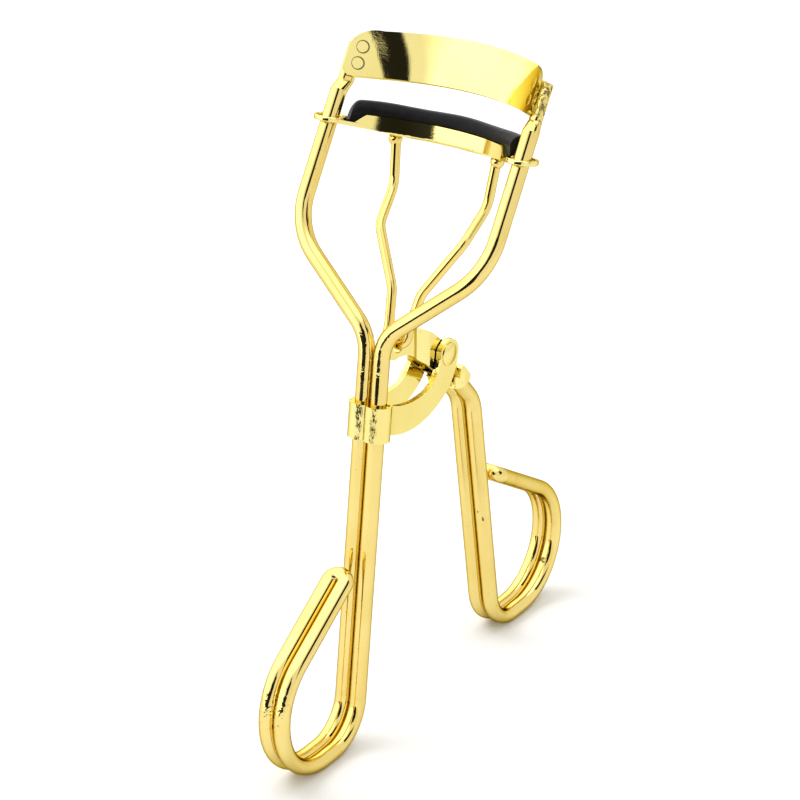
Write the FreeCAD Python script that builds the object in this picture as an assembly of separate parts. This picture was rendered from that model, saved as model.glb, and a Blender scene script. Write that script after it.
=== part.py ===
import FreeCAD, Part
import os, math

# Eyelash curler: a bent-wire frame, a lever on a rivet, and a sliding lower jaw.
# Millimetres. X is sideways, Y runs from the finger loop to the thumb loop, Z is up.
# The origin is on the floor, under the centre of the whole curler.

V = FreeCAD.Vector

# ---- driving dimensions ----
WIRE_R = 1.2                 # main wires, 2.4 mm in diameter
WIRE_X = 1.25                # the paired wires of each handle stand this far from the middle
LINK_R = 0.7                 # link wire

HANDLE_Y = -13.4             # front handle line at HANDLE_Z
HANDLE_Z = 44.4
HANDLE_TILT = 7.11           # degrees, its foot leans forward
REAR_Y = 19.03               # rear handle line at floor height
REAR_TILT = 9.06             # degrees, its foot leans back

LOOP_R = 9.9                 # round of each finger loop, to the wire's centre line
LOOP_HEEL_R = 6.5            # smaller bend where the handle meets the loop
FRONT_LEG_ANGLE = 34.0       # slope of the leg that returns to each handle
REAR_LEG_ANGLE = 31.0
FRONT_LOOP_Y = -26.9         # centre of each loop's round
REAR_LOOP_Y = 26.9
LOOP_TIP_GAP = 4.8           # from the end of the return leg to the handle line
LEG_STEP = 0.05              # the leg is lengthened by this much until it comes that near

FLARE_Z = 60.9               # where the two wires part
FLARE_R = 6.0
CAGE_X = 15.7               # half the distance between the upright cage wires
SHOULDER_Y = -7.78
SHOULDER_Z = 72.56
SHOULDER_R = 10.5
CAGE_LEAN = 32.57            # degrees, the cage leans back from upright

PADDLE_T = 21.8              # the wire ends are flat from here, measured up the cage
PADDLE_TOP = 27.2
PADDLE_WIDE = 2.3
PADDLE_INSET = 0.6          # the flat ends sit this much further in than the round wire
PADDLE_THICK = 1.7
PADDLE_NECK = 1.6            # length over which the round wire turns flat
PADDLE_TURN_X = 14.7         # the paddle lies at the angle that the plate has here
SEAT_BELOW = 0.5             # the wire is pressed away this far below the plate

JAW_R = 21.5                 # curve of both jaws
JAW_TILT = 20.0              # degrees, the jaws' edges arch up in the middle
PLATE_THICK = 0.8
PLATE_HALF = 15.3            # half width of the upper jaw plate
PLATE_LOW_T = 22.4          # its lower corners, measured up the cage
PLATE_TALL = 7.05
PLATE_TOP_R = 3.2            # its upper and lower corners
PLATE_LOW_R = 0.9
PLATE_LIP = 0.2              # the upper edge starts this much higher than a true quarter round
PLATE_END_V = -0.9           # its ends, in front of the cage wires
PIN_R = 0.8                 # the pins that hold the plate to the wire ends
PIN_PROUD = 0.03
PIN_DEEP = 1.0
PIN_INSET = 1.5              # from the plate's end
PIN_HEIGHTS = (2.0, 4.4)     # above the plate's lower corners

CHANNEL_WIDE = 4.0
CHANNEL_TALL = 2.5
CHANNEL_SHEET = 0.6
CHANNEL_HALF_ANGLE = 34.5
CHANNEL_CENTRE_V = -12.9    # centre of the lower jaw's curve
CHANNEL_CENTRE_T = 9.9
END_TAPER = 7.0              # degrees over which the channel's walls run down to the eyelets
EYELET_T = 16.1              # the sliding eyelets, measured up the cage
EYELET_IN_R = 1.68
EYELET_OUT_R = 2.3
EYELET_TALL = 0.75
EYELET_ROUND = 0.25          # rounding of the eyelets' rims
RING_SKIN = 0.2
CHANNEL_ROUND = 0.5          # outer bend between the channel's floor and walls
END_LEVEL = 15.55            # underside of the channel's ends, up the cage, in line with the wires
END_SLOPE = 10.4             # degrees, it rises to the back
PAD_HALF_ANGLE = 40.6        # the bulb; the stem runs a little past it
STEM_HALF_ANGLE = 43.0
STEM_END_TALL = 1.6
PAD_TOP = 4.25               # above the channel's underside
PAD_BULB_WIDE = 2.9
PAD_STEM_WIDE = 2.7
PAD_FIT = 0.02               # between the pad and the sheet round it

PIVOT_Y = 3.4
PIVOT_Z = 53.4
RIVET_R = 0.9
RIVET_HEAD_R = 1.7
RIVET_HEAD_TALL = 0.5
RIVET_RIM = 0.12             # the upright edge of each head, below its dome
RUNNING_FIT = 0.05

EAR_IN_X = 1.95              # inner face of the bracket's ears
SHEET = 0.8
COLLAR_LOW = 46.15
COLLAR_TALL = 5.2
COLLAR_OUT_R = 1.97
COLLAR_FIT = 0.02            # between the collar and the wires in it
COLLAR_FRONT = 1.3           # the solid middle of the collar, in front of and behind the wires' line
COLLAR_BACK = 1.9

YOKE_SHEET = 0.6
YOKE_PIVOT_X = 1.2           # inner faces of the yoke at the pivot and at the tail; its arm is pressed flat
YOKE_TAIL_X = 2.5
YOKE_SPREAD_Y = -4.7         # where the arm's two layers part, from the rivet's axis
YOKE_SPREAD_LENGTH = 0.8
YOKE_BEND = 0.5
YOKE_TAIL_ROUND = 0.7        # inner rounding of the clasp's upright corners
HOOK_Y = -6.3                # where the link wire hooks through the arm
HOOK_Z = 58.0
HOOK_HOLE_R = 1.3
TAIL_Z = 42.4                # where the rear wires turn towards the pivot
TAIL_TILT = 42.0
TAIL_BEND_R = 6.5
TAIL_LENGTH = 7.25

LINK_X = 8.2                 # where the link's ends pass through the lower jaw
LINK_BACK = 0.6
LINK_HOOK_X = 1.65           # its two strands beside the yoke's arm
LINK_LOW = ((7.75, 5.1, 76.4), (6.95, 0.2, 72.2), (2.4, -3.5, 64.9), (LINK_HOOK_X, -5.4, 60.2))
LINK_BENDS = (4.0, 3.5, 5.0, 4.0)
LINK_THROUGH = 0.35          # the link's ends stand this far above the channel's floor
HOOK_BEND = 1.25
BEAD_R = 1.0                 # the shoulder on each end, under the jaw
BEAD_DROP = 0.65
BEAD_TALL = 1.5
PEEN_R = 1.05                # the flattened ends above the floor
PEEN_TALL = 0.35
PEEN_GAP = 0.03


def side(y, z, x=0.0):
    """A point given in the side view."""
    return V(x, y, z)


def by_pivot(y, z, x=0.0):
    """A point given from the rivet's axis, in the side view."""
    return V(x, PIVOT_Y + y, PIVOT_Z + z)


def head(x, v, t):
    """A point in the cage's own axes: v runs straight back through it, t up along its wires."""
    lean = math.radians(CAGE_LEAN)
    return V(x,
             SHOULDER_Y + v * math.cos(lean) + t * math.sin(lean),
             SHOULDER_Z - v * math.sin(lean) + t * math.cos(lean))


HEAD_BACK = head(0, 1, 0) - head(0, 0, 0)
HEAD_UP = head(0, 0, 1) - head(0, 0, 0)


def mirrored(shape):
    """The same shape on the other side of the middle plane."""
    return shape.mirror(V(0, 0, 0), V(1, 0, 0))


def filleted_path(points, radii):
    """A wire of straight runs joined by tangent arcs at the inner points."""
    edges = []
    start = points[0]
    for i in range(1, len(points) - 1):
        corner = points[i]
        back = (points[i - 1] - corner).normalize()
        ahead = (points[i + 1] - corner).normalize()
        half_turn = (math.pi - back.getAngle(ahead)) / 2
        reach = radii[i - 1] * math.tan(half_turn)
        enter = corner + back * reach
        leave = corner + ahead * reach
        inward = (back + ahead).normalize()
        middle = corner + inward * (radii[i - 1] / math.cos(half_turn) - radii[i - 1])
        if (enter - start).Length > 1e-4:
            edges.append(Part.makeLine(start, enter))
        else:
            enter = start
        edges.append(Part.Arc(enter, middle, leave).toShape())
        start = leave
    if (points[-1] - start).Length > 1e-4:
        edges.append(Part.makeLine(start, points[-1]))
    return Part.Wire(edges)


def bent_wire(points, radii, radius):
    """A round wire bent along the filleted path."""
    path = filleted_path(points, radii)
    along = points[1] - points[0]
    ring = Part.Wire(Part.makeCircle(radius, points[0], along))
    return path.makePipeShell([ring], True, False)


def outline(*pieces):
    """A closed face from runs of two points and arcs of three, in order."""
    edges = []
    for piece in pieces:
        if len(piece) == 2:
            edges.append(Part.makeLine(*piece))
        else:
            edges.append(Part.Arc(*piece).toShape())
    return Part.Face(Part.Wire(edges))


def polygon(points):
    """A closed face from its corners."""
    return Part.Face(Part.makePolygon(list(points) + [points[0]]))


def cross_cylinder(radius, y, z, half):
    """A cylinder along X, from -half to half."""
    return Part.makeCylinder(radius, 2 * half, V(-half, y, z), V(1, 0, 0))


def handle_y(z):
    return HANDLE_Y + (z - HANDLE_Z) * math.tan(math.radians(HANDLE_TILT))


def rear_y(z):
    return REAR_Y - z * math.tan(math.radians(REAR_TILT))


def loop_corners(line_y, centre_y, outward, leg_angle):
    """Corners and bend radii of one finger loop, from the handle's foot to the tip of its leg."""
    floor = WIRE_R
    heel = side(line_y(floor), floor)
    far_y = centre_y + outward * LOOP_R
    centre_z = floor + LOOP_R
    leg = math.radians(leg_angle)
    top_z = centre_z + LOOP_R * math.tan((math.pi / 2 - leg) / 2)
    leave_y = centre_y + outward * LOOP_R * math.sin(leg)
    leave_z = centre_z + LOOP_R * math.cos(leg)
    step = side(-outward * math.cos(leg), math.sin(leg))
    tip = side(leave_y, leave_z)
    while abs(line_y(tip.z) - tip.y) > LOOP_TIP_GAP:
        tip = tip + step * LEG_STEP
    corners = [heel, side(far_y, floor), side(far_y, top_z), tip]
    return corners, [LOOP_HEEL_R, LOOP_R, LOOP_R]


def at_x(points, x):
    return [V(x, p.y, p.z) for p in points]


def frame_wire():
    loop, loop_radii = loop_corners(handle_y, FRONT_LOOP_Y, -1, FRONT_LEG_ANGLE)
    top = head(CAGE_X, 0, PADDLE_T - PADDLE_NECK)
    shoulder = V(CAGE_X, SHOULDER_Y, SHOULDER_Z)
    flare = V(WIRE_X, handle_y(FLARE_Z), FLARE_Z)
    half = [top, shoulder, flare] + at_x(loop, WIRE_X)
    other = [V(-p.x, p.y, p.z) for p in reversed(half)]
    half_radii = [SHOULDER_R, FLARE_R] + loop_radii
    radii = half_radii + [WIRE_X, WIRE_X] + half_radii[::-1]
    wire = bent_wire(half + other, radii, WIRE_R)
    right = paddle()
    return wire.fuse([right, mirrored(right)]).removeSplitter().cut(plate_seat())


def plate_angle(x):
    return math.asin(x / JAW_R)


def paddle_axes():
    """The paddle lies against the back of the plate, so it turns with the plate's curve there."""
    turn = plate_angle(PADDLE_TURN_X)
    across = V(math.cos(turn), 0, 0) - HEAD_BACK * math.sin(turn)
    outward = V(math.sin(turn), 0, 0) + HEAD_BACK * math.cos(turn)
    return across, outward


def paddle():
    """The flat end of the right cage wire, drawn out from its round section."""
    across, outward = paddle_axes()
    back = JAW_R + PLATE_THICK / 2 + PADDLE_THICK / 2
    from_centre = V(CAGE_X, 0, 0) - HEAD_BACK * plate_centre_v()
    direction = V(from_centre).normalize()
    shift = direction * back - from_centre - across * PADDLE_INSET
    sections = []
    for t, wide, thick, move in ((PADDLE_T - PADDLE_NECK, 2 * WIRE_R, 2 * WIRE_R, 0),
                                 (PADDLE_T, PADDLE_WIDE, PADDLE_THICK, 1),
                                 (PADDLE_TOP, PADDLE_WIDE, PADDLE_THICK, 1)):
        sections.append(rounded_section(head(CAGE_X, 0, t) + shift * move, across, outward, wide, thick))
    return Part.makeLoft(sections, True, True)


def plate_seat():
    """What is pressed away in front of the wire ends, where the plate lies."""
    low = PLATE_LOW_T - SEAT_BELOW
    tall = 12
    return Part.makeCylinder(JAW_R + PLATE_THICK / 2, tall, head(0, plate_centre_v(), low), HEAD_UP)


def rounded_section(centre, across, outward, wide, thick):
    """A closed stadium: two half rounds and, between them, two straight sides."""
    radius = thick / 2
    run = max(wide / 2 - radius, 0.02)
    signs = ((1, -1), (1, 1), (-1, 1), (-1, -1))
    corner = [centre + across * (run * a) + outward * (radius * b) for a, b in signs]
    right = centre + across * (run + radius)
    left = centre - across * (run + radius)
    edges = [Part.Arc(corner[0], right, corner[1]).toShape(),
             Part.makeLine(corner[1], corner[2]),
             Part.Arc(corner[2], left, corner[3]).toShape(),
             Part.makeLine(corner[3], corner[0])]
    return Part.Wire(edges)


def plate_centre_v():
    return PLATE_END_V - JAW_R * math.cos(plate_angle(PLATE_HALF))


def upper_jaw_plate():
    """A band of a cylinder along the cage, with arched edges and rounded upper corners."""
    centre_v = plate_centre_v()
    base = head(0, centre_v, 5)
    tall = 40
    inner = Part.makeCylinder(JAW_R - PLATE_THICK / 2, tall, base, HEAD_UP)
    outer = Part.makeCylinder(JAW_R + PLATE_THICK / 2, tall, base, HEAD_UP)
    rise = (centre_v + JAW_R - PLATE_END_V) * math.tan(math.radians(JAW_TILT))
    low = PLATE_LOW_T
    high = PLATE_LOW_T + PLATE_TALL
    top_r = PLATE_TOP_R
    low_r = PLATE_LOW_R
    lip = PLATE_LIP
    front = PLATE_END_V - 6
    half = PLATE_HALF

    def p(x, t):
        return head(x, front, t)

    diag = math.sqrt(0.5)
    low_in = low_r * diag
    face = outline(
        (p(-half + low_r, low), p(0, low + rise), p(half - low_r, low)),
        (p(half - low_r, low), p(half - low_r + low_in, low + low_r - low_in), p(half, low + low_r)),
        (p(half, low + low_r), p(half, high - top_r)),
        (p(half, high - top_r), p(half - top_r * (1 - diag), high - top_r * (1 - diag) + lip),
         p(half - top_r, high + 2 * lip)),
        (p(half - top_r, high + 2 * lip), p(0, high + rise), p(-half + top_r, high + 2 * lip)),
        (p(-half + top_r, high + 2 * lip), p(-half + top_r * (1 - diag), high - top_r * (1 - diag) + lip),
         p(-half, high - top_r)),
        (p(-half, high - top_r), p(-half, low + low_r)),
        (p(-half, low + low_r), p(-half + low_r - low_in, low + low_r - low_in), p(-half + low_r, low)))
    deep = 20
    block = face.extrude(HEAD_BACK * deep)
    plate = outer.cut(inner).common(block)
    return plate.cut(jaw_pins_solids())


def jaw_pins_solids():
    """The two pins through each end of the plate into the wire behind it."""
    turn = plate_angle(PLATE_HALF) - PIN_INSET / JAW_R
    outward = V(math.sin(turn), 0, 0) + HEAD_BACK * math.cos(turn)
    pins = []
    for t in PIN_HEIGHTS:
        start = head(0, plate_centre_v(), PLATE_LOW_T + t) + outward * (JAW_R - PLATE_THICK / 2 - PIN_PROUD)
        pin = Part.makeCylinder(PIN_R, PLATE_THICK + PIN_DEEP, start, outward)
        rim = [edge for edge in pin.Edges if (edge.CenterOfMass - start).Length < 0.01]
        pins.append(pin.makeChamfer(PIN_PROUD, rim))
    return Part.makeCompound(pins + [mirrored(pin) for pin in pins])


def jaw_frame():
    """Centre, radial direction and axis of the lower jaw's curve."""
    tilt = math.radians(JAW_TILT)
    centre = head(0, CHANNEL_CENTRE_V, CHANNEL_CENTRE_T)
    radial = HEAD_BACK * math.cos(tilt) + HEAD_UP * math.sin(tilt)
    axis = HEAD_UP * math.cos(tilt) - HEAD_BACK * math.sin(tilt)
    return centre, radial, axis


def jaw_point(offset, height, angle=0.0):
    """A point on the lower jaw: offset across its curve, height above its underside."""
    centre, radial, axis = jaw_frame()
    turn = math.radians(angle)
    reach = JAW_R + offset
    return centre + radial * (reach * math.cos(turn)) + V(1, 0, 0) * (reach * math.sin(turn)) + axis * height


def along_jaw(face, half_angle):
    """The section swept along the lower jaw's curve."""
    centre, radial, axis = jaw_frame()
    turned = face.copy()
    turned.rotate(centre, axis, -half_angle)
    return turned.revolve(centre, axis, 2 * half_angle)


def lower_jaw_channel():
    half = CHANNEL_WIDE / 2
    inner = half - CHANNEL_SHEET
    bend = CHANNEL_ROUND
    mid = bend * (1 - math.sqrt(0.5))
    section = outline(
        (jaw_point(-half + bend, 0), jaw_point(half - bend, 0)),
        (jaw_point(half - bend, 0), jaw_point(half - mid, mid), jaw_point(half, bend)),
        (jaw_point(half, bend), jaw_point(half, CHANNEL_TALL)),
        (jaw_point(half, CHANNEL_TALL), jaw_point(inner, CHANNEL_TALL)),
        (jaw_point(inner, CHANNEL_TALL), jaw_point(inner, CHANNEL_SHEET)),
        (jaw_point(inner, CHANNEL_SHEET), jaw_point(-inner, CHANNEL_SHEET)),
        (jaw_point(-inner, CHANNEL_SHEET), jaw_point(-inner, CHANNEL_TALL)),
        (jaw_point(-inner, CHANNEL_TALL), jaw_point(-half, CHANNEL_TALL)),
        (jaw_point(-half, CHANNEL_TALL), jaw_point(-half, bend)),
        (jaw_point(-half, bend), jaw_point(-half + mid, mid), jaw_point(-half + bend, 0)))
    off = end_cut()
    inside = ring_inside()
    channel = along_jaw(section, CHANNEL_HALF_ANGLE + END_TAPER).common(above_eyelets())
    channel = channel.cut([off, mirrored(off), inside, mirrored(inside)])
    eyelet = eyelet_tab()
    body = channel.fuse([eyelet, mirrored(eyelet)])
    return body.cut(strip()).cut(link_wire()).removeSplitter()


def above_eyelets():
    """The space above the plane in which the channel's underside is trimmed at its ends."""
    wide = 30
    slope = math.tan(math.radians(END_SLOPE))
    plan = ((-wide, -wide), (wide, -wide), (wide, wide), (-wide, wide))
    corners = [head(x, v, END_LEVEL + v * slope) for x, v in plan]
    return polygon(corners).extrude(HEAD_UP * wide)


def end_cut():
    """What is taken off above the channel's right end: its walls run down in a hollow curve to the eyelet."""
    start = CHANNEL_HALF_ANGLE
    end = CHANNEL_HALF_ANGLE + END_TAPER
    middle = (start + end) / 2
    centre, radial, axis = jaw_frame()
    turn = math.radians(middle)
    out = radial * math.cos(turn) + V(math.sin(turn), 0, 0)
    along = V(math.cos(turn), 0, 0) - radial * math.sin(turn)

    def at(angle, height):
        sideways = JAW_R * math.tan(math.radians(angle - middle))
        return centre + out * (JAW_R - CHANNEL_WIDE) + along * sideways + axis * height

    above = CHANNEL_TALL + 3
    face = outline((at(start, CHANNEL_TALL), at(middle, CHANNEL_TALL * 0.6), at(end, 0.3)),
                   (at(end, 0.3), at(end + 9, 0.3)),
                   (at(end + 9, 0.3), at(end + 9, above)),
                   (at(end + 9, above), at(start, above)),
                   (at(start, above), at(start, CHANNEL_TALL)))
    return face.extrude(out * (2 * CHANNEL_WIDE))


def ring_cylinder(radius, tall):
    """A cylinder on the middle of the right eyelet, along the jaw's own axis."""
    axis = jaw_frame()[2]
    return Part.makeCylinder(radius, tall, head(CAGE_X, 0, EYELET_T) - axis * (tall / 2), axis)


def ring_inside():
    """The space within the right eyelet's ring, less a thin skin that joins the ring to the sheet."""
    return ring_cylinder(EYELET_OUT_R - RING_SKIN, 4.0)


def eyelet_tab():
    """A ribbon of sheet from the channel's end, and the ring round the right cage wire."""
    half = CHANNEL_WIDE / 2
    axis = jaw_frame()[2]
    slope = math.tan(math.radians(END_SLOPE))
    up = axis * CHANNEL_SHEET
    near = jaw_point(-half, 0, CHANNEL_HALF_ANGLE)
    near_v = (near - head(0, 0, 0)).dot(HEAD_BACK)
    near_low = head(near.x, near_v, END_LEVEL + near_v * slope)
    far_low = jaw_point(half, 0, CHANNEL_HALF_ANGLE)
    reach = EYELET_OUT_R * 0.96
    lean = math.tan(math.radians(JAW_TILT))
    under = EYELET_T - CHANNEL_SHEET / 2
    ring_near = head(CAGE_X - reach * 0.5, -reach * 0.85, under - reach * 0.85 * lean)
    ring_far = head(CAGE_X + reach * 0.3, reach * 0.93, under + reach * 0.93 * lean)
    first = Part.makePolygon([near_low, far_low, far_low + up, near_low + up, near_low])
    second = Part.makePolygon([ring_near, ring_far, ring_far + up, ring_near + up, ring_near])
    ribbon = Part.makeLoft([first, second], True, True)
    ring = ring_cylinder(EYELET_OUT_R, EYELET_TALL).cut(ring_cylinder(EYELET_IN_R, 4.0))
    rims = [edge for edge in ring.Edges if isinstance(edge.Curve, Part.Circle)]
    return ribbon.cut(ring_inside()).fuse(ring.makeFillet(EYELET_ROUND, rims))


def silicone_pad():
    """The strip, hollowed under its stem for the peened ends of the link wire."""
    return strip().cut(link_wire())


def strip():
    """A strip with a stem in the channel and a round bulb above it."""
    stem = PAD_STEM_WIDE / 2
    bulb = PAD_BULB_WIDE / 2
    floor = CHANNEL_SHEET + PAD_FIT
    shoulder = CHANNEL_TALL + PAD_FIT
    crown = PAD_TOP - bulb + 0.01
    section = outline(
        (jaw_point(-stem, floor), jaw_point(stem, floor)),
        (jaw_point(stem, floor), jaw_point(stem, shoulder)),
        (jaw_point(stem, shoulder), jaw_point(bulb, shoulder)),
        (jaw_point(bulb, shoulder), jaw_point(bulb, crown)),
        (jaw_point(bulb, crown), jaw_point(0, PAD_TOP), jaw_point(-bulb, crown)),
        (jaw_point(-bulb, crown), jaw_point(-bulb, shoulder)),
        (jaw_point(-bulb, shoulder), jaw_point(-stem, shoulder)),
        (jaw_point(-stem, shoulder), jaw_point(-stem, floor)))
    skirt = polygon([jaw_point(-stem, floor), jaw_point(stem, floor), jaw_point(stem, STEM_END_TALL),
                     jaw_point(-stem, STEM_END_TALL)])
    return along_jaw(section, PAD_HALF_ANGLE).fuse(along_jaw(skirt, STEM_HALF_ANGLE)).removeSplitter()


def link_top():
    angle = math.degrees(math.asin(LINK_X / JAW_R))
    return jaw_point(LINK_BACK, 0, angle), jaw_frame()[2]


def link_wire():
    """One wire: up from the hook on the yoke, out in a wishbone, and through the lower jaw's floor."""
    under, up = link_top()
    half = [under + up * (CHANNEL_SHEET + LINK_THROUGH)]
    half += [V(*point) for point in LINK_LOW]
    half.append(V(LINK_HOOK_X, HOOK_Y, HOOK_Z))
    other = [V(-p.x, p.y, p.z) for p in reversed(half)]
    half_radii = list(LINK_BENDS)
    radii = half_radii + [HOOK_BEND, HOOK_BEND] + half_radii[::-1]
    wire = bent_wire(half + other, radii, LINK_R)
    flat_top = Part.makeCylinder(3 * BEAD_R, BEAD_TALL, under - up * (BEAD_TALL + 0.05), up)
    bead = Part.makeSphere(BEAD_R, under - up * BEAD_DROP).common(flat_top)
    peen = Part.makeCylinder(PEEN_R, PEEN_TALL, under + up * (CHANNEL_SHEET + PEEN_GAP), up)
    extras = [bead, peen]
    return wire.fuse(extras + [mirrored(e) for e in extras]).removeSplitter()


def pivot_bracket():
    """A collar pressed round both wires, with two ears that carry the rivet."""
    up = V(0, math.sin(math.radians(HANDLE_TILT)), math.cos(math.radians(HANDLE_TILT)))
    low = COLLAR_LOW
    lobes = []
    wires = []
    for x in (-WIRE_X, WIRE_X):
        lobes.append(Part.makeCylinder(COLLAR_OUT_R, COLLAR_TALL, V(x, handle_y(low), low), up))
        start = V(x, handle_y(low - 6), low - 6)
        wires.append(Part.makeCylinder(WIRE_R + COLLAR_FIT, COLLAR_TALL * 3, start, up))
    back = V(0, up.z, -up.y)
    base = V(0, handle_y(low), low)
    across = V(WIRE_X, 0, 0)
    front = base - back * COLLAR_FRONT
    rear = base + back * COLLAR_BACK
    bridge = polygon([front - across, front + across, rear + across, rear - across])
    lobes.append(bridge.extrude(up * COLLAR_TALL))
    ear_face = outline(
        (by_pivot(-15.4, -6.6), by_pivot(-7.9, -8), by_pivot(-1, -5.9)),
        (by_pivot(-1, -5.9), by_pivot(1.5, -3.3), by_pivot(2.5, 0)),
        (by_pivot(2.5, 0), by_pivot(0.5, 2.15), by_pivot(-2.1, 1.0)),
        (by_pivot(-2.1, 1.0), by_pivot(-3.7, -2.5), by_pivot(-7.2, -3.8)),
        (by_pivot(-7.2, -3.8), by_pivot(-11.4, -3.5), by_pivot(-15.4, -2.0)),
        (by_pivot(-15.4, -2.0), by_pivot(-15.4, -6.6)))
    ear_face.translate(V(EAR_IN_X, 0, 0))
    ear = ear_face.extrude(V(SHEET, 0, 0))
    body = lobes[0].fuse(lobes[1:] + [ear, mirrored(ear)])
    return body.cut(wires).cut(cross_cylinder(RIVET_R, PIVOT_Y, PIVOT_Z, 6)).removeSplitter()


def pivot_rivet():
    """A shank across the ears with a low domed head on each end."""
    face_x = EAR_IN_X + SHEET
    shank = cross_cylinder(RIVET_R, PIVOT_Y, PIVOT_Z, face_x + 0.1)
    dome_tall = RIVET_HEAD_TALL - RIVET_RIM
    sphere_r = (RIVET_HEAD_R ** 2 + dome_tall ** 2) / (2 * dome_tall)
    ball = Part.makeSphere(sphere_r, V(face_x + RIVET_HEAD_TALL - sphere_r, PIVOT_Y, PIVOT_Z))
    keep = Part.makeCylinder(RIVET_HEAD_R, 3, V(face_x, PIVOT_Y, PIVOT_Z), V(1, 0, 0))
    dome = ball.common(keep)
    return shank.fuse([dome, mirrored(dome)])


def tail_point(s, offset=0.0):
    """A point along the tail of the lever, s from the turn in the wires, offset to the back."""
    tilt = math.radians(TAIL_TILT)
    return side(rear_y(TAIL_Z) - s * math.sin(tilt) + offset * math.cos(tilt),
                TAIL_Z + s * math.cos(tilt) + offset * math.sin(tilt))


def slab(face, x, thick=YOKE_SHEET):
    """The side-view face as a plate, its inner face at x."""
    moved = face.copy()
    moved.translate(V(x, 0, 0))
    return moved.extrude(V(thick, 0, 0))


def spreading_sheet():
    """Half of the folded sheet in plan: on the middle plane at the arm, then spread at the rivet."""
    first = PIVOT_Y + YOKE_SPREAD_Y
    second = first + YOKE_SPREAD_LENGTH
    slope = math.atan2(YOKE_PIVOT_X, YOKE_SPREAD_LENGTH)
    lead = YOKE_SHEET * math.tan(slope / 2)
    tight = YOKE_BEND
    wide = tight + YOKE_SHEET
    far = 12.0
    inner = filleted_path([V(0, first - far, 0), V(0, first, 0), V(YOKE_PIVOT_X, second, 0),
                           V(YOKE_PIVOT_X, second + far, 0)], [wide, tight])
    outer = filleted_path([V(YOKE_SHEET, first - far, 0), V(YOKE_SHEET, first - lead, 0),
                           V(YOKE_PIVOT_X + YOKE_SHEET, second - lead, 0),
                           V(YOKE_PIVOT_X + YOKE_SHEET, second + far, 0)], [tight, wide])
    ends = [Part.makeLine(V(0, first - far, 0), V(YOKE_SHEET, first - far, 0)),
            Part.makeLine(V(YOKE_PIVOT_X, second + far, 0), V(YOKE_PIVOT_X + YOKE_SHEET, second + far, 0))]
    rim = Part.Wire(Part.__sortEdges__(inner.Edges + outer.Edges + ends))
    sheet = Part.Face(rim)
    tall = 40
    sheet.translate(V(0, 0, PIVOT_Z - tall / 2))
    return sheet.extrude(V(0, 0, tall))


def rounded_in_front(face, half_wide, radius):
    """The side-view face as a block across the middle, its upright front corners rounded."""
    block = slab(face, -half_wide, 2 * half_wide)
    fronts = []
    for edge in block.Edges:
        away = edge.CenterOfMass - tail_point(0)
        offset = away.dot(tail_point(0, 1) - tail_point(0))
        along = away.dot(tail_point(1) - tail_point(0))
        if abs(edge.tangentAt(edge.FirstParameter).x) < 0.01 and offset < 0 and 8.0 < along < 9.0:
            fronts.append(edge)
    return block.makeFillet(radius, fronts)


def clasp():
    """The tail of the sheet, wrapped round the front and sides of the rear wires."""
    outside = outline(
        (by_pivot(2.6, -3.2), by_pivot(3.4, -2.9)),
        (by_pivot(3.4, -2.9), tail_point(7.2, WIRE_R + 0.1)),
        (tail_point(7.2, WIRE_R + 0.1), tail_point(6.6, WIRE_R - 0.1), tail_point(6.4, WIRE_R - 1.0)),
        (tail_point(6.4, WIRE_R - 1.0), tail_point(7.4, -WIRE_R - YOKE_SHEET)),
        (tail_point(7.4, -WIRE_R - YOKE_SHEET), by_pivot(2.6, -3.2)))
    inside = polygon([tail_point(5.0, -WIRE_R), tail_point(7.3, -WIRE_R), tail_point(9.2, 0.55),
                      tail_point(9.2, 4.0), tail_point(5.0, 4.0)])
    shell = rounded_in_front(outside, YOKE_TAIL_X + YOKE_SHEET, YOKE_TAIL_ROUND + YOKE_SHEET)
    return shell.cut(rounded_in_front(inside, YOKE_TAIL_X, YOKE_TAIL_ROUND))


def lever_yoke():
    """A folded sheet: an arm that carries the link, two cheeks on the rivet, and a clasp on the wires."""
    face = outline(
        (by_pivot(1.5, -4.8), by_pivot(-1.9, -2.3), by_pivot(-4.7, 0.1)),
        (by_pivot(-4.7, 0.1), by_pivot(-6.9, 1.8), by_pivot(-10, 2.6)),
        (by_pivot(-10, 2.6), by_pivot(-12.6, 4.9), by_pivot(-10.3, 6.9)),
        (by_pivot(-10.3, 6.9), by_pivot(-5.0, 5.4), by_pivot(-1.0, 2.5)),
        (by_pivot(-1.0, 2.5), by_pivot(1.7, 0.4), by_pivot(3.3, -3.0)),
        (by_pivot(3.3, -3.0), by_pivot(1.5, -4.8)))
    cheek = slab(face, -1, 6).common(spreading_sheet())
    step = polygon([by_pivot(2.6, -3.2), by_pivot(3.4, -2.9), tail_point(9.0, WIRE_R + 0.1),
                    tail_point(9.0, -0.6)])
    inside = YOKE_PIVOT_X + YOKE_SHEET
    throat = polygon([tail_point(8.0, -WIRE_R), tail_point(8.0, -WIRE_R - YOKE_SHEET),
                      tail_point(9.9, -WIRE_R - YOKE_SHEET), tail_point(9.9, -WIRE_R)])
    half = cheek.fuse(slab(step, YOKE_PIVOT_X, YOKE_TAIL_X + YOKE_SHEET - YOKE_PIVOT_X))
    body = half.fuse([mirrored(half), clasp(), slab(throat, -inside, 2 * inside)])
    holes = [cross_cylinder(RIVET_R + RUNNING_FIT, PIVOT_Y, PIVOT_Z, 6),
             cross_cylinder(HOOK_HOLE_R, HOOK_Y, HOOK_Z, 6)]
    return body.cut(holes).removeSplitter()


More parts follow.
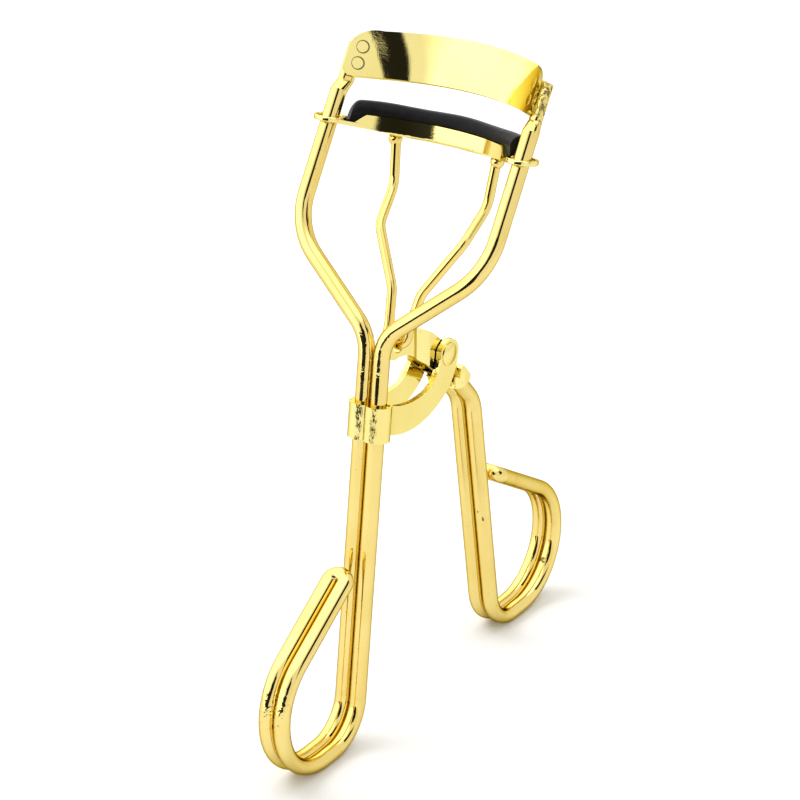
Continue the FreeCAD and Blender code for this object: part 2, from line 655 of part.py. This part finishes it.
def rear_handle_wire():
    loop, loop_radii = loop_corners(rear_y, REAR_LOOP_Y, 1, REAR_LEG_ANGLE)
    half = at_x([tail_point(TAIL_LENGTH), tail_point(0)] + loop, WIRE_X)
    half_radii = [TAIL_BEND_R] + loop_radii
    other = [V(-p.x, p.y, p.z) for p in reversed(half)]
    radii = half_radii + [WIRE_X, WIRE_X] + half_radii[::-1]
    return bent_wire(half + other, radii, WIRE_R)


nodes = {
    "frame_wire": frame_wire(),
    "upper_jaw_plate": upper_jaw_plate(),
    "jaw_pins": jaw_pins_solids(),
    "pivot_bracket": pivot_bracket(),
    "pivot_rivet": pivot_rivet(),
    "lever_yoke": lever_yoke(),
    "rear_handle_wire": rear_handle_wire(),
    "link_wire": link_wire(),
    "lower_jaw_channel": lower_jaw_channel(),
    "silicone_pad": silicone_pad(),
}
nodes["frame_wire"] = nodes["frame_wire"].cut(nodes["jaw_pins"])

os.makedirs("parts", exist_ok=True)
for name, shape in nodes.items():
    shape.exportStep("parts/" + name + ".step")
    box = shape.BoundBox
    print(name, len(shape.Solids), shape.isValid(), round(shape.Volume, 2),
          [round(n, 2) for n in (box.XMin, box.XMax, box.YMin, box.YMax, box.ZMin, box.ZMax)])
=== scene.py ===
import bpy
import bmesh
import math
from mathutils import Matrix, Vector


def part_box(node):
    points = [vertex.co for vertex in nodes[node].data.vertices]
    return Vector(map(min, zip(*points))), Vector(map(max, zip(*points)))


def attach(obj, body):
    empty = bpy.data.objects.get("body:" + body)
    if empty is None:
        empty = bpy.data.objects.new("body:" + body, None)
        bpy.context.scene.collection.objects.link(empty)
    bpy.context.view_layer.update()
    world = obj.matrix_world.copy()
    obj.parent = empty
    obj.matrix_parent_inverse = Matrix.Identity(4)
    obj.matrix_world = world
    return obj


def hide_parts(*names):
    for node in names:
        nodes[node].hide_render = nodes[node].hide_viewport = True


# Eyelash curler: polished gold-tone plating and a black silicone pad. Lengths are in metres, except in
# the pad's section, and angles are in radians unless a comment says degrees.

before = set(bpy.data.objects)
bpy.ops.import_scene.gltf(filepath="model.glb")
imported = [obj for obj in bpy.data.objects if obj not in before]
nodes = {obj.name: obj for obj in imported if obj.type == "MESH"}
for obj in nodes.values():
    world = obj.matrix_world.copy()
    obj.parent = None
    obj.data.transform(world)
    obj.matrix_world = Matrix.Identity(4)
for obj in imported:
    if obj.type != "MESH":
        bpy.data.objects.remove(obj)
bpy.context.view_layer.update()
scene = bpy.context.scene
MM = 0.001
MICRON = 0.000001

# ---- the head's own directions, and the curve of the lower jaw, which the pad follows ----
CAGE_LEAN = math.radians(32.57)
SHOULDER = Vector((0, -7.78, 72.56)) * MM
JAW_R = 21.5 * MM
JAW_TILT = math.radians(20)
JAW_CENTRE_V = -12.9 * MM
JAW_CENTRE_T = 9.9 * MM

HEAD_BACK = Vector((0, math.cos(CAGE_LEAN), -math.sin(CAGE_LEAN)))
HEAD_UP = Vector((0, math.sin(CAGE_LEAN), math.cos(CAGE_LEAN)))
JAW_CENTRE = SHOULDER + HEAD_BACK * JAW_CENTRE_V + HEAD_UP * JAW_CENTRE_T
JAW_OUT = HEAD_BACK * math.cos(JAW_TILT) + HEAD_UP * math.sin(JAW_TILT)
JAW_AXIS = HEAD_UP * math.cos(JAW_TILT) - HEAD_BACK * math.sin(JAW_TILT)

# ---- camera ----
CAMERA_PLACE = Vector((0.21033, -0.32443, 0.22913))
CAMERA_AIM = Vector((-0.4976, 0.7553, -0.4266))
LENS = 134.7                 # millimetres, as the sensor's width is
SENSOR_WIDTH = 36
NEAREST = 0.01


def look_along(thing, direction):
    thing.rotation_mode = "QUATERNION"
    thing.rotation_quaternion = direction.to_track_quat("-Z", "Y")


def make_camera():
    camera = bpy.data.cameras.new("camera")
    camera.lens = LENS
    camera.sensor_width = SENSOR_WIDTH
    camera.clip_start = NEAREST
    viewer = bpy.data.objects.new("camera", camera)
    viewer.location = CAMERA_PLACE
    look_along(viewer, CAMERA_AIM)
    scene.collection.objects.link(viewer)
    return viewer


bpy.context.scene.camera = make_camera()
scene.view_settings.view_transform = "Standard"


# ---- shader helpers ----
MIX_A = 6                    # a Mix node's colour sockets have no names of their own
MIX_B = 7
MIX_RESULT = 2


class Tree:
    """A node tree, with short calls for the nodes that the finishes share."""

    def __init__(self, tree):
        self.tree = tree
        self.place = tree.nodes.new("ShaderNodeTexCoord").outputs["Object"]
        self.facing = tree.nodes.new("ShaderNodeNewGeometry").outputs["Normal"]

    def put(self, node, name, value):
        """Links a socket or sets a value. None leaves the input as it is."""
        if value is None:
            return
        if isinstance(value, bpy.types.NodeSocket):
            self.tree.links.new(value, node.inputs[name])
        else:
            node.inputs[name].default_value = value

    def math(self, kind, a, b=None, c=None):
        node = self.tree.nodes.new("ShaderNodeMath")
        node.operation = kind
        for i, value in enumerate((a, b, c)):
            self.put(node, i, value)
        return node.outputs[0]

    def times(self, a, b):
        return self.math("MULTIPLY", a, b)

    def vector(self, kind, a, b=None):
        node = self.tree.nodes.new("ShaderNodeVectorMath")
        node.operation = kind
        self.put(node, 0, a)
        self.put(node, 1, b)
        return node.outputs["Value" if kind == "DISTANCE" else "Vector"]

    def part(self, vector, axis):
        node = self.tree.nodes.new("ShaderNodeSeparateXYZ")
        self.put(node, 0, vector)
        return node.outputs[axis]

    def sideways(self, amount):
        """A vector along x."""
        node = self.tree.nodes.new("ShaderNodeCombineXYZ")
        self.put(node, 0, amount)
        return node.outputs[0]

    def scaled(self, x, y, z):
        node = self.tree.nodes.new("ShaderNodeMapping")
        self.put(node, "Vector", self.place)
        self.put(node, "Scale", (x, y, z))
        return node.outputs[0]

    def noise(self, scale, detail=2.0, place=None):
        node = self.tree.nodes.new("ShaderNodeTexNoise")
        self.put(node, "Vector", place or self.place)
        self.put(node, "Scale", scale)
        self.put(node, "Detail", detail)
        return node.outputs[0]

    def smooth(self, value, none, full):
        """0 at one bound and beyond, 1 at the other and beyond, smooth between. Either may be larger."""
        node = self.tree.nodes.new("ShaderNodeMapRange")
        node.interpolation_type = "SMOOTHSTEP"
        self.put(node, "Value", value)
        falling = none > full
        self.put(node, "From Min", min(none, full))
        self.put(node, "From Max", max(none, full))
        self.put(node, "To Min", 1.0 if falling else 0.0)
        self.put(node, "To Max", 0.0 if falling else 1.0)
        return node.outputs[0]

    def near(self, point, full, none):
        """1 on the first distance's side of the two, 0 on the second's, smooth between."""
        return self.smooth(self.vector("DISTANCE", self.place, tuple(point)), none, full)

    def most(self, values):
        top = values[0]
        for value in values[1:]:
            top = self.math("MAXIMUM", top, value)
        return top

    def mix(self, share, a, b):
        node = self.tree.nodes.new("ShaderNodeMix")
        node.data_type = "RGBA"
        self.put(node, 0, share)
        self.put(node, MIX_A, a)
        self.put(node, MIX_B, b)
        return node.outputs[MIX_RESULT]

    def bump(self, height, rise, normal=None):
        node = self.tree.nodes.new("ShaderNodeBump")
        self.put(node, "Height", height)
        self.put(node, "Distance", rise)
        self.put(node, "Strength", 1.0)
        self.put(node, "Normal", normal)
        return node.outputs[0]


def finish(name):
    material = bpy.data.materials.new(name)
    material.use_nodes = True
    tree = Tree(material.node_tree)
    shader = material.node_tree.nodes["Principled BSDF"]
    return material, tree, shader


def rgb(*values):
    return (*values, 1.0)


# ---- plating ----
# noise scales, in waves per metre, from the slowest to the finest
WAVES = 110.0
PATCHES = 140.0
SMEARS = 300.0
NICKS = 420.0
WORN = 500.0
CREASES = 900.0
TEARS = 1300.0
DENTS = 1500.0
FLECKS = 1700.0
SPECKS = 2600.0
GRAIN = 5200.0

SPECK_COLOUR = rgb(0.12, 0.07, 0.02)
# dark colour for stains, scratches and burr flecks, and also for the painted shade in the seams round the
# pins
STAIN_AND_SHADE_COLOUR = rgb(0.03, 0.018, 0.006)
EDGE_TINT = rgb(0.4, 0.31, 0.13)
SMOOTHEST = 0.015            # roughness where the plating is cleanest
SMEAR_ROUGH = 0.06           # what smears and marks add to it
MARK_ROUGH = 0.05


def gold(name, tones, grain, wave, marks=None, stains_and_shade=None, lean=None):
    """Mirror plating: fine grain, slow waves, the marks that the forming left, and dark marks that are partly
    real stains and partly painted shade in seams.
    """
    material, t, shader = finish(name)
    patches = t.smooth(t.noise(PATCHES, 3.0), 0.35, 0.7)
    colour = t.mix(patches, *tones)
    specks = t.smooth(t.noise(SPECKS, 1.0), 0.74, 0.79)
    colour = t.mix(t.times(specks, 0.5), colour, SPECK_COLOUR)
    # darkens real stains and scratches, and paints shade into the seams round the pins
    if stains_and_shade:
        colour = t.mix(stains_and_shade(t), colour, STAIN_AND_SHADE_COLOUR)
    t.put(shader, "Base Color", colour)
    shader.inputs["Metallic"].default_value = 1.0
    shader.inputs["Specular Tint"].default_value = EDGE_TINT
    rough = t.math("MULTIPLY_ADD", t.noise(SMEARS, 4.0), SMEAR_ROUGH, SMOOTHEST)
    normal = t.bump(t.noise(WAVES, 1.0), wave, lean(t) if lean else None)
    normal = t.bump(t.noise(GRAIN, 2.0), grain, normal)
    if marks:
        for height, rise, share in marks(t):
            normal = t.bump(t.times(height, share), rise, normal)
            rough = t.math("MULTIPLY_ADD", share, MARK_ROUGH, rough)
    t.put(shader, "Roughness", rough)
    t.put(shader, "Normal", normal)
    return material


def dress(material, *names):
    for name in names:
        for place in nodes[name].material_slots:
            place.material = material


# ---- wires ----
WIRE_TONES = (rgb(0.83, 0.66, 0.235), rgb(0.80, 0.62, 0.195))
WIRE_GRAIN = 2.2 * MICRON
NECK = Vector((3.0, -13.5, 58.0)) * MM                      # where a strand bends out above the collar
FRONT_BEND = Vector((0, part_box("frame_wire")[0].y, 13.5 * MM))
REAR_BEND = Vector((0, 22.5, 26.5)) * MM
BEND_WEAR = (2.0 * MM, 6.0 * MM)                            # full wear within the first, none past the second
REAR_WEAR = (1.0 * MM, 4.5 * MM)
NECK_SHARE = 0.4
BURR_LOW = (20.3 * MM, 21.5 * MM)                           # up the cage
BURR_INNER = (13.5 * MM, 14.2 * MM)                         # out to the right


def cage_height(t):
    """How far a point is up the cage, from its shoulders."""
    along = t.times(t.part(t.place, 1), HEAD_UP.y)
    along = t.math("MULTIPLY_ADD", t.part(t.place, 2), HEAD_UP.z, along)
    return t.math("SUBTRACT", along, SHOULDER.dot(HEAD_UP))


def burr(t):
    """The swaged strip down the end of the right cage wire."""
    return t.times(t.smooth(cage_height(t), *BURR_LOW), t.smooth(t.part(t.place, 0), *BURR_INNER))


def creases(t):
    """Fine creases, drawn out along an upright wire."""
    return t.noise(CREASES, 4.0, t.scaled(1.0, 1.0, 0.45))


def worn_patches(t):
    return t.smooth(t.noise(WORN, 3.0), 0.42, 0.62)


def frame_marks(t):
    necks = t.most([t.near(NECK, *BEND_WEAR), t.near((-NECK.x, NECK.y, NECK.z), *BEND_WEAR)])
    bends = t.most([t.near(FRONT_BEND, *BEND_WEAR), t.times(necks, NECK_SHARE)])
    dents = t.noise(DENTS, 3.0, t.scaled(1.0, 1.0, 0.6))
    return [(creases(t), 120 * MICRON, t.times(bends, worn_patches(t))), (dents, 220 * MICRON, burr(t))]


def frame_stains(t):
    """Dark flecks in the burrs."""
    flecks = t.smooth(t.noise(FLECKS, 3.0, t.scaled(1.0, 1.0, 0.6)), 0.53, 0.60)
    return t.times(t.times(flecks, burr(t)), 0.75)


def rear_marks(t):
    return [(creases(t), 70 * MICRON, t.times(t.near(REAR_BEND, *REAR_WEAR), worn_patches(t)))]


def nicks(t):
    """Short dark scratches down the side of the rear handle."""
    return t.times(t.smooth(t.noise(NICKS, 2.0, t.scaled(1.0, 2.2, 0.7)), 0.735, 0.75), 0.8)


dress(gold("wire plating", WIRE_TONES, WIRE_GRAIN, 80 * MICRON, frame_marks, frame_stains), "frame_wire")
dress(gold("rear wire plating", WIRE_TONES, WIRE_GRAIN, 80 * MICRON, rear_marks, nicks), "rear_handle_wire")
dress(gold("link plating", WIRE_TONES, WIRE_GRAIN, 40 * MICRON), "link_wire")


# ---- sheet parts ----
SHEET_TONES = (rgb(0.88, 0.755, 0.29), rgb(0.86, 0.72, 0.25))
PLATE_HALF = 15.3 * MM       # from the middle of the plate out to its pins
PLATE_THICK = 0.8 * MM
SEAM_OUTER = (0.92 * MM, 1.04 * MM)         # the seam's outer and inner edges, each from dark to clear
SEAM_INNER = (0.82 * MM, 0.74 * MM)
EDGES_FROM = (-11.2 * MM, -9.8 * MM)        # sheared edges show their grain from here back
COLLAR_UP_TO = (-10.5 * MM, -12.2 * MM)     # the pinched collar lies in front of here
TWIST_START = -3.5 * MM
TWIST = 21.0                 # sideways lean of the surface for each metre past the start


def pin_places(side):
    """The middle of each pin's face on one side, where it stands in the plate."""
    corners = [vertex.co for vertex in nodes["jaw_pins"].data.vertices if vertex.co.x * side > 0]
    heights = [corner.dot(HEAD_UP) for corner in corners]
    split = (min(heights) + max(heights)) / 2
    turn = math.asin(PLATE_HALF / JAW_R)
    outward = Vector((side * math.sin(turn), 0, 0)) + HEAD_BACK * math.cos(turn)
    places = []
    for upper in (False, True):
        pin = [corner for corner in corners if (corner.dot(HEAD_UP) > split) == upper]
        places.append(sum(pin, Vector()) / len(pin) - outward * PLATE_THICK)
    return places


def seam_shade_and_grime(t):
    """The dark ring round each pin on the left: painted shade in the crevice between pin and plate, with some
    grime.
    """
    rings = [t.times(t.near(place, *SEAM_OUTER), t.near(place, *SEAM_INNER)) for place in pin_places(-1)]
    return t.times(t.most(rings), 0.85)


def plate_twist(t):
    """The plate is shaded as if it were slightly twisted towards its left end."""
    heights = [vertex.co.dot(HEAD_UP) for vertex in nodes["upper_jaw_plate"].data.vertices]
    low = min(heights)
    high = max(heights)
    middle = (low + high) / 2 - SHOULDER.dot(HEAD_UP)
    up = t.times(t.math("SUBTRACT", cage_height(t), middle), 2 / (high - low))
    out = t.math("MAXIMUM", t.math("SUBTRACT", TWIST_START, t.part(t.place, 0)), 0.0)
    turned = t.sideways(t.times(t.times(up, out), -TWIST))
    return t.vector("NORMALIZE", t.vector("ADD", t.facing, turned))


def edge_marks(t):
    """The torn grain of sheared edges, on the faces that look neither left nor right."""
    edges = t.smooth(t.math("ABSOLUTE", t.part(t.facing, 0)), 0.75, 0.35)
    return t.times(edges, t.smooth(t.part(t.place, 1), *EDGES_FROM))


def bracket_marks(t):
    pinch = t.noise(TEARS, 3.0, t.scaled(1.0, 1.0, 0.2))
    collar = t.smooth(t.part(t.place, 1), *COLLAR_UP_TO)
    return [(t.noise(TEARS, 3.0), 60 * MICRON, edge_marks(t)), (pinch, 120 * MICRON, collar)]


def yoke_marks(t):
    return [(t.noise(TEARS, 3.0), 30 * MICRON, edge_marks(t))]


# the plate's seam rings darken it round the left pins with painted shade and some grime
dress(gold("plate plating", SHEET_TONES, 4.0 * MICRON, 120 * MICRON, None, seam_shade_and_grime, plate_twist),
      "upper_jaw_plate")
dress(gold("channel plating", SHEET_TONES, 3.5 * MICRON, 80 * MICRON), "lower_jaw_channel")
dress(gold("bracket plating", SHEET_TONES, 3.0 * MICRON, 80 * MICRON, bracket_marks), "pivot_bracket")
dress(gold("yoke plating", SHEET_TONES, 3.0 * MICRON, 80 * MICRON, yoke_marks), "lever_yoke")
dress(gold("rivet plating", SHEET_TONES, 4.0 * MICRON, 120 * MICRON), "pivot_rivet", "jaw_pins")


# ---- the pad: its lengths are in millimetres and its angles in degrees round the jaw ----
BULB_ANGLE = 40.6            # half its length
SKIRT_ANGLE = 43.0           # the low stem runs on past the bulb
SKIRT_TOP = 1.55
SKIRT_ROUND = 0.4
PAD_LOW = 0.62
PAD_STEM = 1.35              # half widths
PAD_BULB = 1.45
PAD_SHOULDER = 2.55          # where the bulb overhangs the stem
PAD_TOP = 4.25
STEM_MIDDLE = 1.4
FOOT_ROUND = 0.15
DOME_SHARE = 0.92            # the dome's height for its half width
DOME_STEPS = 12
LINK_ANGLE = 22.4            # the peened ends of the link sit under the pad here
LINK_ROOM = 4.5
LINK_TOP = 1.3
LEFT_ROUND = 1.5             # the moulded left end; the right one was cut square
RIGHT_ROUND = 0.25
CUT_SHARE = 0.88             # the cut end's height at its very edge
SAG = 0.03                   # the top rises and falls a little along the pad
SAG_TURN = 0.19              # radians of that wave for each degree, and where it starts
SAG_START = 0.8
END_NARROW = 0.8             # width left at the skirt's ends, and where the bulb stops
CUT_NARROW = 0.94
MIDDLE_STEPS = 14
SKIRT_STEPS = (0, 0.12, 0.5, 1.2, 2.0)                                  # in from each end of the skirt
BULB_STEPS = (-0.05, 0.03, 0.2, 0.5, 0.9, 1.4, 2.0, 2.7, 3.5, 4.5, 6.0, 8.0, 10.5)    # and of the bulb
PER_DEGREE = math.radians(1) * JAW_R / MM


def pad_section():
    """Half widths and heights round the pad, starting low on the inner side."""
    side = [(-PAD_STEM + FOOT_ROUND, PAD_LOW), (-PAD_STEM, PAD_LOW + FOOT_ROUND), (-PAD_STEM, STEM_MIDDLE)]
    # a small step out under the bulb
    side += [(-PAD_STEM, PAD_SHOULDER - 0.12), (-PAD_STEM - 0.04, PAD_SHOULDER - 0.02)]
    side += [(-PAD_BULB, PAD_SHOULDER + 0.08)]
    dome = PAD_BULB * DOME_SHARE
    over = []
    for i in range(DOME_STEPS + 1):
        turn = math.pi * (1 - i / DOME_STEPS)
        over.append((PAD_BULB * math.cos(turn), PAD_TOP - dome + dome * math.sin(turn)))
    return side + over + [(-across, height) for across, height in reversed(side)]


def pad_stations():
    """Angles of the cross-sections, close together at both ends."""
    half = [SKIRT_ANGLE - inward for inward in SKIRT_STEPS] + [BULB_ANGLE - inward for inward in BULB_STEPS]
    step = half[-1] / MIDDLE_STEPS
    middle = [step * i for i in range(1 - MIDDLE_STEPS, MIDDLE_STEPS)]
    return [-angle for angle in half] + middle + half[::-1]


def jaw_point(offset, height, angle):
    reach = JAW_R + offset * MM
    turn = math.radians(angle)
    out = JAW_OUT * math.cos(turn) + Vector((math.sin(turn), 0, 0))
    return JAW_CENTRE + out * reach + JAW_AXIS * (height * MM)


def rounded(distance, radius):
    """Share of full height at a distance in from an end with a rounded corner."""
    inside = min(max(distance / radius, 0.0), 1.0)
    return math.sqrt(1 - (1 - inside) ** 2)


def bulb_share(angle):
    """How much of the bulb's height is left near its two ends."""
    cut = (BULB_ANGLE - angle) * PER_DEGREE
    if cut < 0:
        return 0.0
    right = CUT_SHARE + (1 - CUT_SHARE) * rounded(cut, RIGHT_ROUND)
    return right * rounded((angle + BULB_ANGLE) * PER_DEGREE, LEFT_ROUND)


def pad_ring(angle):
    """Points round the pad at one station."""
    share = bulb_share(angle)
    end = rounded((SKIRT_ANGLE + 0.02 - abs(angle)) * PER_DEGREE, SKIRT_ROUND)
    points = []
    for offset, height in pad_section():
        if height > SKIRT_TOP:
            sag = SAG * math.sin(angle * SAG_TURN + SAG_START) * (height - SKIRT_TOP)
            height = SKIRT_TOP + (height + sag - SKIRT_TOP) * share
        offset *= END_NARROW + (1 - END_NARROW) * end
        offset *= CUT_NARROW + (1 - CUT_NARROW) * share
        if abs(abs(angle) - LINK_ANGLE) < LINK_ROOM:
            height = max(height, LINK_TOP)
        points.append(jaw_point(offset, height, angle))
    return points


def make_pad():
    mesh = bmesh.new()
    rings = [[mesh.verts.new(point) for point in pad_ring(angle)] for angle in pad_stations()]
    count = len(rings[0])
    for a, b in zip(rings, rings[1:]):
        for i in range(count):
            j = (i + 1) % count
            mesh.faces.new((a[i], a[j], b[j], b[i]))
    for ring in (rings[0], rings[-1]):
        middle = mesh.verts.new(sum((v.co for v in ring), Vector()) / count)
        for i in range(count):
            mesh.faces.new((middle, ring[i], ring[(i + 1) % count]))
    bmesh.ops.recalc_face_normals(mesh, faces=mesh.faces)
    data = bpy.data.meshes.new("pad")
    mesh.to_mesh(data)
    mesh.free()
    for face in data.polygons:
        face.use_smooth = True
    pad = bpy.data.objects.new("pad", data)
    scene.collection.objects.link(pad)
    finer = pad.modifiers.new("finer", "SUBSURF")
    finer.levels = 2
    finer.render_levels = 2
    return pad


SILICONE_TONES = (rgb(0.0045, 0.0045, 0.005), rgb(0.008, 0.008, 0.009))
DUST_COLOUR = rgb(0.05, 0.049, 0.047)
MOTTLE = 700.0               # noise scales, in waves per metre
DUST = 5200.0
DULL_PATCHES = 900.0
DIMPLES = 420.0
SKIN = 5000.0


def silicone():
    material, t, shader = finish("black silicone")
    mottle = t.smooth(t.noise(MOTTLE, 5.0), 0.35, 0.75)
    dust = t.smooth(t.noise(DUST, 2.0), 0.68, 0.78)
    colour = t.mix(mottle, *SILICONE_TONES)
    colour = t.mix(t.times(dust, 0.25), colour, DUST_COLOUR)
    t.put(shader, "Base Color", colour)
    t.put(shader, "Roughness", t.math("MULTIPLY_ADD", t.noise(DULL_PATCHES, 4.0), 0.22, 0.34))
    shader.inputs["IOR"].default_value = 1.41
    shader.inputs["Specular IOR Level"].default_value = 0.13
    shader.inputs["Sheen Weight"].default_value = 0.02
    shader.inputs["Sheen Roughness"].default_value = 0.5
    normal = t.bump(t.noise(DIMPLES, 2.0), 80 * MICRON)
    normal = t.bump(t.noise(SKIN, 3.0), 6 * MICRON, normal)
    t.put(shader, "Normal", normal)
    return material


pad = make_pad()
pad.data.materials.append(silicone())
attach(pad, "lower_jaw")
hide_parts("silicone_pad")

# ---- floor ----
TABLE_EDGE = -0.225          # the table ends in front, before the camera
TABLE_BACK = 1.6
TABLE_SIDE = 1.2


def white_paper():
    material, t, shader = finish("white table")
    t.put(shader, "Base Color", t.mix(t.noise(30.0, 2.0), rgb(0.83, 0.83, 0.83), rgb(0.84, 0.84, 0.84)))
    shader.inputs["Roughness"].default_value = 0.9
    shader.inputs["Specular IOR Level"].default_value = 0.1
    return material


def make_floor():
    corners = [(-TABLE_SIDE, TABLE_EDGE, 0), (TABLE_SIDE, TABLE_EDGE, 0),
               (TABLE_SIDE, TABLE_BACK, 0), (-TABLE_SIDE, TABLE_BACK, 0)]
    table = bpy.data.meshes.new("floor")
    table.from_pydata(corners, [], [(0, 1, 2, 3)])
    floor = bpy.data.objects.new("floor", table)
    floor.data.materials.append(white_paper())
    scene.collection.objects.link(floor)
    return floor


floor = make_floor()

# ---- what the plating mirrors, in degrees: heading from straight in front, to the right, and slope up ----
STAND_LEAN = 1.5             # heading of the stand's middle for each degree of slope
STAND_LEFT = -0.03           # its furthest headings, in radians
STAND_RIGHT = math.radians(29)
STAND_HALF = 10
STAND_STEPS = ((38, 33, 9), (20, 8, 6), (41, 44, -4))       # slopes of none and full, and what half gains
STAND_TOP = (48, 46)
BOOM_FROM = (74, 24)         # heading and slope of a point on the boom
BOOM_RISE = 0.375
BOOM_HALF = (14, 12)
BOOM_ENDS = (82, 116)
EDGE_SOFT = 1.5
BRIGHT_LEFT = (-165, -6)
BRIGHT_SOFT = 12
BRIGHT_TOP = (48, 62)
DIM = 1.05                   # level of the plain surround, and what the bright sides add to it
BRIGHTER = 0.95
STAND_DARK = 0.985


def between(t, value, none, full):
    """Tree.smooth with its bounds in degrees."""
    return t.smooth(value, math.radians(none), math.radians(full))


def window(t, value, low, high, soft):
    """1 between two angles, with soft edges."""
    return t.times(between(t, value, low - soft, low + soft), between(t, value, high + soft, high - soft))


def camera_stand(t, heading, slope):
    """The dark shape of a camera on its stand, which leans up towards the right."""
    lean = t.math("MINIMUM", t.math("MAXIMUM", t.times(slope, STAND_LEAN), STAND_LEFT), STAND_RIGHT)
    beside = t.math("ABSOLUTE", t.math("SUBTRACT", heading, lean))
    reach = math.radians(STAND_HALF)
    for none, full, gain in STAND_STEPS:
        reach = t.math("MULTIPLY_ADD", between(t, slope, none, full), math.radians(gain), reach)
    shape = between(t, t.math("SUBTRACT", reach, beside), -EDGE_SOFT, EDGE_SOFT)
    return t.times(shape, between(t, slope, *STAND_TOP))


def stand_boom(t, heading, slope):
    """The stand's boom, far out to the right, which rises slowly."""
    start, height = (math.radians(angle) for angle in BOOM_FROM)
    rise = t.math("MULTIPLY_ADD", t.math("SUBTRACT", heading, start), BOOM_RISE, height)
    off_boom = t.math("ABSOLUTE", t.math("SUBTRACT", slope, rise))
    return t.times(between(t, off_boom, *BOOM_HALF), window(t, heading, *BOOM_ENDS, EDGE_SOFT))


def make_world():
    """An even white room, which mirrors show as brighter to the left and above, with the dark stand."""
    world = bpy.data.worlds.new("studio")
    world.use_nodes = True
    tree = world.node_tree
    tree.nodes.clear()
    t = Tree(tree)
    ray = tree.nodes.new("ShaderNodeTexCoord").outputs["Generated"]
    heading = t.math("ARCTAN2", t.part(ray, 0), t.times(t.part(ray, 1), -1.0))
    slope = t.math("ARCSINE", t.part(ray, 2))
    dark = t.math("MAXIMUM", camera_stand(t, heading, slope), stand_boom(t, heading, slope))
    bright = t.math("MAXIMUM", window(t, heading, *BRIGHT_LEFT, BRIGHT_SOFT), between(t, slope, *BRIGHT_TOP))
    level = t.math("MULTIPLY_ADD", bright, BRIGHTER, DIM)
    level = t.times(level, t.math("SUBTRACT", 1.0, t.times(dark, STAND_DARK)))
    mirrored = tree.nodes.new("ShaderNodeLightPath").outputs["Is Glossy Ray"]
    level = t.math("ADD", t.times(level, mirrored), t.math("SUBTRACT", 1.0, mirrored))
    sky = tree.nodes.new("ShaderNodeBackground")
    t.put(sky, "Color", rgb(1, 1, 1))
    t.put(sky, "Strength", level)
    out = tree.nodes.new("ShaderNodeOutputWorld")
    tree.links.new(sky.outputs[0], out.inputs[0])
    return world


scene.world = make_world()

# ---- lights ----
LIT_POINT = Vector((0, 0, 0.05))


def soft_box(name, place, size, power):
    light = bpy.data.lights.new(name, "AREA")
    light.shape = "SQUARE"
    light.size = size
    light.energy = power
    lamp = bpy.data.objects.new(name, light)
    lamp.location = place
    look_along(lamp, LIT_POINT - Vector(place))
    lamp.visible_glossy = False
    scene.collection.objects.link(lamp)


soft_box("key", (-0.45, -0.10, 0.6), 0.4, 2.0)
soft_box("top", (-0.1, 0.15, 0.9), 0.6, 2.0)
